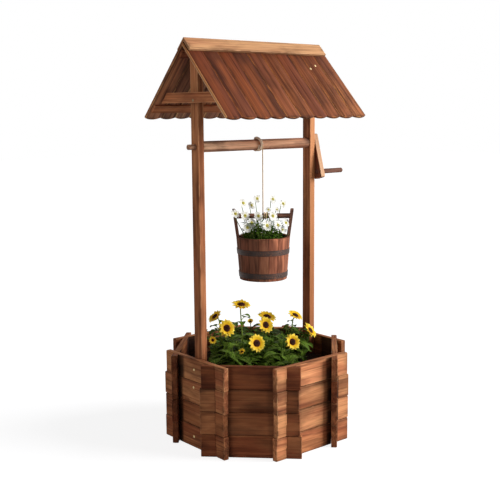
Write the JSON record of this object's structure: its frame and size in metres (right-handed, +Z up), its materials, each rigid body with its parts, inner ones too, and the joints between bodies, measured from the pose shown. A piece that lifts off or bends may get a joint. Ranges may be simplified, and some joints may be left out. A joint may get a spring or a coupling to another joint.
{
  "type": "wishing well planter",
  "caption": "Octagonal half-lapped timber tub with two posts, a gabled board roof, and a cranked windlass that raises and lowers a small staved bucket on a rope.",
  "frame": {"origin": "middle of the tub's underside, on the ground", "axes": "+Z up; X along the ridge and the windlass, with the crank on the +X side; -Y is the front"},
  "size_m": [0.6023, 0.5478, 1.1601],
  "materials": {
    "tub_wood": "burnt and stained softwood, satin",
    "floor_wood": "raw softwood, matt",
    "post_wood": "burnt and stained softwood, satin",
    "roof_wood": "burnt and stained softwood, satin",
    "ridge_wood": "lightly stained softwood, satin",
    "axle_wood": "stained softwood, satin",
    "bucket_wood": "burnt and stained softwood, satin",
    "dark_wood": "dark stained softwood, satin",
    "hoop_metal": "dark, dull",
    "jute": "hairy twisted rope"
  },
  "bodies": {
    "frame": {"tub_board_right_1": "tub_wood", "tub_board_right_2": "tub_wood", "tub_board_right_3": "tub_wood", "tub_board_right_4": "tub_wood", "tub_board_back_right_1": "tub_wood", "tub_board_back_right_2": "tub_wood", "tub_board_back_right_3": "tub_wood", "tub_board_back_right_4": "tub_wood", "tub_board_back_1": "tub_wood", "tub_board_back_2": "tub_wood", "tub_board_back_3": "tub_wood", "tub_board_back_4": "tub_wood", "tub_board_back_left_1": "tub_wood", "tub_board_back_left_2": "tub_wood", "tub_board_back_left_3": "tub_wood", "tub_board_back_left_4": "tub_wood", "tub_board_left_1": "tub_wood", "tub_board_left_2": "tub_wood", "tub_board_left_3": "tub_wood", "tub_board_left_4": "tub_wood", "tub_board_front_left_1": "tub_wood", "tub_board_front_left_2": "tub_wood", "tub_board_front_left_3": "tub_wood", "tub_board_front_left_4": "tub_wood", "tub_board_front_1": "tub_wood", "tub_board_front_2": "tub_wood", "tub_board_front_3": "tub_wood", "tub_board_front_4": "tub_wood", "tub_board_front_right_1": "tub_wood", "tub_board_front_right_2": "tub_wood", "tub_board_front_right_3": "tub_wood", "tub_board_front_right_4": "tub_wood", "tub_floor": "floor_wood", "post_left": "post_wood", "post_right": "post_wood", "collar_beam_left": "post_wood", "collar_beam_right": "post_wood", "lower_batten_front": "post_wood", "lower_batten_back": "post_wood", "upper_batten_front": "post_wood", "upper_batten_back": "post_wood", "roof_slope_front": "roof_wood", "roof_slope_back": "roof_wood", "ridge_board_front": "ridge_wood", "ridge_board_back": "ridge_wood"},
    "windlass": {"axle": "axle_wood", "crank_arm": "post_wood", "crank_handle": "axle_wood", "rope_windings": "jute"},
    "rope": {"rope_fall": "jute"},
    "rope_end": {"rope_tie": "jute"},
    "bucket": {"bucket_staves_front": "bucket_wood", "bucket_staves_back": "bucket_wood", "ear_stave_left": "dark_wood", "ear_stave_right": "dark_wood", "bucket_bar": "dark_wood", "bucket_floor": "dark_wood", "bucket_hoop_upper": "hoop_metal", "bucket_hoop_lower": "hoop_metal"}
  },
  "joints": [
    {"name": "crank_turn", "type": "hinge", "parent": "frame", "child": "windlass", "pos_m": [0, 0, 0.8645], "axis": [1, 0, 0], "range_deg": [-435, 325]},
    {"name": "rope_swing", "type": "hinge", "parent": "frame", "child": "rope", "pos_m": [0.01, -0.01765, 0.8645], "axis": [1, 0, 0], "range_deg": [-12, 12]},
    {"name": "bucket_hoist", "type": "slide", "parent": "rope", "child": "rope_end", "axis": [0, 0, 1], "range_m": [-0.1015, 0.136], "deforming": ["rope_fall"]},
    {"name": "bucket_tip", "type": "hinge", "parent": "rope_end", "child": "bucket", "pos_m": [0.01, -0.01765, 0.6562], "axis": [0.766, -0.6428, 0], "range_deg": [-45, 45]}
  ],
  "couplings": [
    {"joint": "bucket_hoist", "follows": "crank_turn", "m_per_rad": -0.01765}
  ]
}
